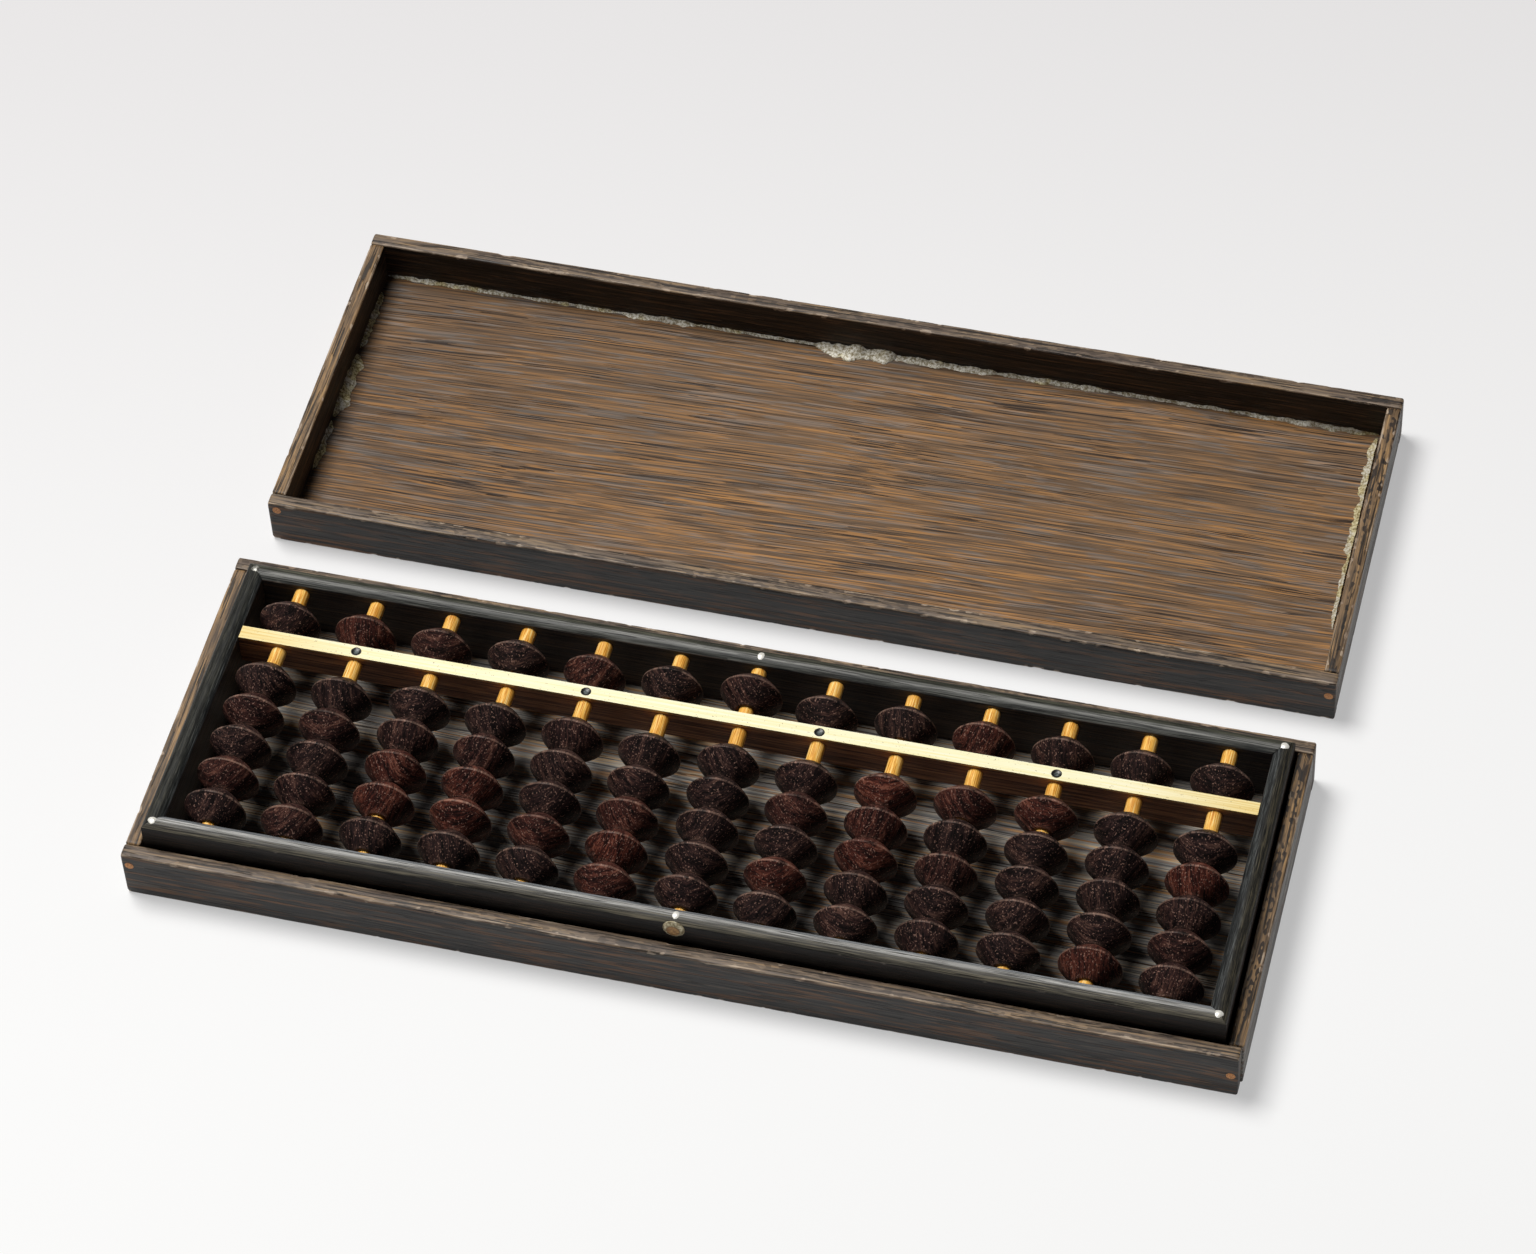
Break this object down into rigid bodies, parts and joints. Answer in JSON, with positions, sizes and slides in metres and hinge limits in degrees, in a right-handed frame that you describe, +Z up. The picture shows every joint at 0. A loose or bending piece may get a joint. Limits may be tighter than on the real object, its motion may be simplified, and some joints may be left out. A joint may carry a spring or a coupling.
{
  "type": "japanese abacus in wooden case",
  "caption": "Japanese abacus with bicone beads sliding on bamboo rods in a dark frame, lying in a wooden tray with its loose wooden cover open behind it.",
  "frame": {"origin": "centre of the tray's underside", "axes": "+X along the case to the user's right, +Y from the user to the open cover, +Z up"},
  "size_m": [0.2462, 0.1877, 0.0231],
  "materials": {
    "case_rail_wood": "worn, open pores",
    "case_board_wood": "unfinished, streaky",
    "peg_wood": "end grain",
    "ebony": "hand-polished satin",
    "bar_wood": "satin",
    "pale_strip": "polished",
    "marker_dark": "smooth",
    "silver": "worn bright",
    "brass": "tarnished",
    "bamboo": "polished by the beads",
    "bead_wood": "hand-polished satin"
  },
  "bodies": {
    "tray": {"tray_floor": "case_board_wood", "tray_front_rail": "case_rail_wood", "tray_back_rail": "case_rail_wood", "tray_left_rail": "case_rail_wood", "tray_right_rail": "case_rail_wood", "tray_pegs": "peg_wood"},
    "cover": {"cover_board": "case_board_wood", "cover_front_rail": "case_rail_wood", "cover_back_rail": "case_rail_wood", "cover_left_rail": "case_rail_wood", "cover_right_rail": "case_rail_wood", "cover_pegs": "peg_wood"},
    "abacus": {"frame_front_rail": "ebony", "frame_back_rail": "ebony", "frame_left_rail": "ebony", "frame_right_rail": "ebony", "crossbar": "bar_wood", "crossbar_strip": "pale_strip", "unit_markers": "marker_dark", "frame_pins": "silver", "front_stud": "brass", "rod_01": "bamboo", "rod_02": "bamboo", "rod_03": "bamboo", "rod_04": "bamboo", "rod_05": "bamboo", "rod_06": "bamboo", "rod_07": "bamboo", "rod_08": "bamboo", "rod_09": "bamboo", "rod_10": "bamboo", "rod_11": "bamboo", "rod_12": "bamboo", "rod_13": "bamboo"},
    "upper_bead_01": {"upper_bead_01": "bead_wood"},
    "lower_beads_01": {"lower_beads_01": "bead_wood"},
    "upper_bead_02": {"upper_bead_02": "bead_wood"},
    "lower_beads_02": {"lower_beads_02": "bead_wood"},
    "upper_bead_03": {"upper_bead_03": "bead_wood"},
    "lower_beads_03": {"lower_beads_03": "bead_wood"},
    "upper_bead_04": {"upper_bead_04": "bead_wood"},
    "lower_beads_04": {"lower_beads_04": "bead_wood"},
    "upper_bead_05": {"upper_bead_05": "bead_wood"},
    "lower_beads_05": {"lower_beads_05": "bead_wood"},
    "upper_bead_06": {"upper_bead_06": "bead_wood"},
    "lower_beads_06": {"lower_beads_06": "bead_wood"},
    "upper_bead_07": {"upper_bead_07": "bead_wood"},
    "lower_beads_07": {"lower_beads_07": "bead_wood"},
    "upper_bead_08": {"upper_bead_08": "bead_wood"},
    "lower_beads_08": {"lower_beads_08": "bead_wood"},
    "upper_bead_09": {"upper_bead_09": "bead_wood"},
    "lower_beads_09": {"lower_beads_09": "bead_wood"},
    "upper_bead_10": {"upper_bead_10": "bead_wood"},
    "lower_beads_10": {"lower_beads_10": "bead_wood"},
    "upper_bead_11": {"upper_bead_11": "bead_wood"},
    "lower_beads_11": {"lower_beads_11": "bead_wood"},
    "upper_bead_12": {"upper_bead_12": "bead_wood"},
    "lower_beads_12": {"lower_beads_12": "bead_wood"},
    "upper_bead_13": {"upper_bead_13": "bead_wood"},
    "lower_beads_13": {"lower_beads_13": "bead_wood"}
  },
  "joints": [
    {"name": "cover_lift", "type": "slide", "parent": "tray", "child": "cover", "axis": [0, 0, 1], "range_m": [0, 0.06]},
    {"name": "abacus_lift", "type": "slide", "parent": "tray", "child": "abacus", "axis": [0, 0, 1], "range_m": [0, 0.03]},
    {"name": "upper_slide_01", "type": "slide", "parent": "abacus", "child": "upper_bead_01", "axis": [0, 0.9995, -0.0309], "range_m": [-0.00035, 0.00455]},
    {"name": "lower_slide_01", "type": "slide", "parent": "abacus", "child": "lower_beads_01", "axis": [0, 0.9995, -0.0309], "range_m": [-0.00115, 0.00515]},
    {"name": "upper_slide_02", "type": "slide", "parent": "abacus", "child": "upper_bead_02", "axis": [0, 0.9995, -0.0309], "range_m": [-0.00025, 0.00465]},
    {"name": "lower_slide_02", "type": "slide", "parent": "abacus", "child": "lower_beads_02", "axis": [0, 0.9995, -0.0309], "range_m": [-0.00065, 0.00565]},
    {"name": "upper_slide_03", "type": "slide", "parent": "abacus", "child": "upper_bead_03", "axis": [0, 0.9995, -0.0309], "range_m": [-0.00025, 0.00465]},
    {"name": "lower_slide_03", "type": "slide", "parent": "abacus", "child": "lower_beads_03", "axis": [0, 0.9995, -0.0309], "range_m": [-0.00095, 0.00445]},
    {"name": "upper_slide_04", "type": "slide", "parent": "abacus", "child": "upper_bead_04", "axis": [0, 0.9995, -0.0309], "range_m": [-0.00065, 0.00425]},
    {"name": "lower_slide_04", "type": "slide", "parent": "abacus", "child": "lower_beads_04", "axis": [0, 0.9995, -0.0309], "range_m": [-0.00115, 0.00515]},
    {"name": "upper_slide_05", "type": "slide", "parent": "abacus", "child": "upper_bead_05", "axis": [0, 0.9995, -0.0309], "range_m": [-0.00035, 0.00455]},
    {"name": "lower_slide_05", "type": "slide", "parent": "abacus", "child": "lower_beads_05", "axis": [0, 0.9995, -0.0309], "range_m": [-0.00085, 0.00545]},
    {"name": "upper_slide_06", "type": "slide", "parent": "abacus", "child": "upper_bead_06", "axis": [0, 0.9995, -0.0309], "range_m": [-0.00085, 0.00405]},
    {"name": "lower_slide_06", "type": "slide", "parent": "abacus", "child": "lower_beads_06", "axis": [0, 0.9995, -0.0309], "range_m": [-0.00015, 0.00615]},
    {"name": "upper_slide_07", "type": "slide", "parent": "abacus", "child": "upper_bead_07", "axis": [0, 0.9995, -0.0309], "range_m": [-0.00255, 0.00235]},
    {"name": "lower_slide_07", "type": "slide", "parent": "abacus", "child": "lower_beads_07", "axis": [0, 0.9995, -0.0309], "range_m": [-0.00105, 0.00525]},
    {"name": "upper_slide_08", "type": "slide", "parent": "abacus", "child": "upper_bead_08", "axis": [0, 0.9995, -0.0309], "range_m": [-0.00015, 0.00475]},
    {"name": "lower_slide_08", "type": "slide", "parent": "abacus", "child": "lower_beads_08", "axis": [0, 0.9995, -0.0309], "range_m": [-0.00035, 0.00595]},
    {"name": "upper_slide_09", "type": "slide", "parent": "abacus", "child": "upper_bead_09", "axis": [0, 0.9995, -0.0309], "range_m": [-0.00095, 0.00395]},
    {"name": "lower_slide_09", "type": "slide", "parent": "abacus", "child": "lower_beads_09", "axis": [0, 0.9995, -0.0309], "range_m": [-0.00055, 0.00575]},
    {"name": "upper_slide_10", "type": "slide", "parent": "abacus", "child": "upper_bead_10", "axis": [0, 0.9995, -0.0309], "range_m": [-0.00045, 0.00445]},
    {"name": "lower_slide_10", "type": "slide", "parent": "abacus", "child": "lower_beads_10", "axis": [0, 0.9995, -0.0309], "range_m": [-0.00065, 0.00525]},
    {"name": "upper_slide_11", "type": "slide", "parent": "abacus", "child": "upper_bead_11", "axis": [0, 0.9995, -0.0309], "range_m": [-0.00015, 0.00475]},
    {"name": "lower_slide_11", "type": "slide", "parent": "abacus", "child": "lower_beads_11", "axis": [0, 0.9995, -0.0309], "range_m": [-0.00115, 0.00415]},
    {"name": "upper_slide_12", "type": "slide", "parent": "abacus", "child": "upper_bead_12", "axis": [0, 0.9995, -0.0309], "range_m": [-0.00015, 0.00475]},
    {"name": "lower_slide_12", "type": "slide", "parent": "abacus", "child": "lower_beads_12", "axis": [0, 0.9995, -0.0309], "range_m": [-0.00145, 0.00485]},
    {"name": "upper_slide_13", "type": "slide", "parent": "abacus", "child": "upper_bead_13", "axis": [0, 0.9995, -0.0309], "range_m": [-0.00035, 0.00455]},
    {"name": "lower_slide_13", "type": "slide", "parent": "abacus", "child": "lower_beads_13", "axis": [0, 0.9995, -0.0309], "range_m": [-0.00045, 0.00585]}
  ]
}
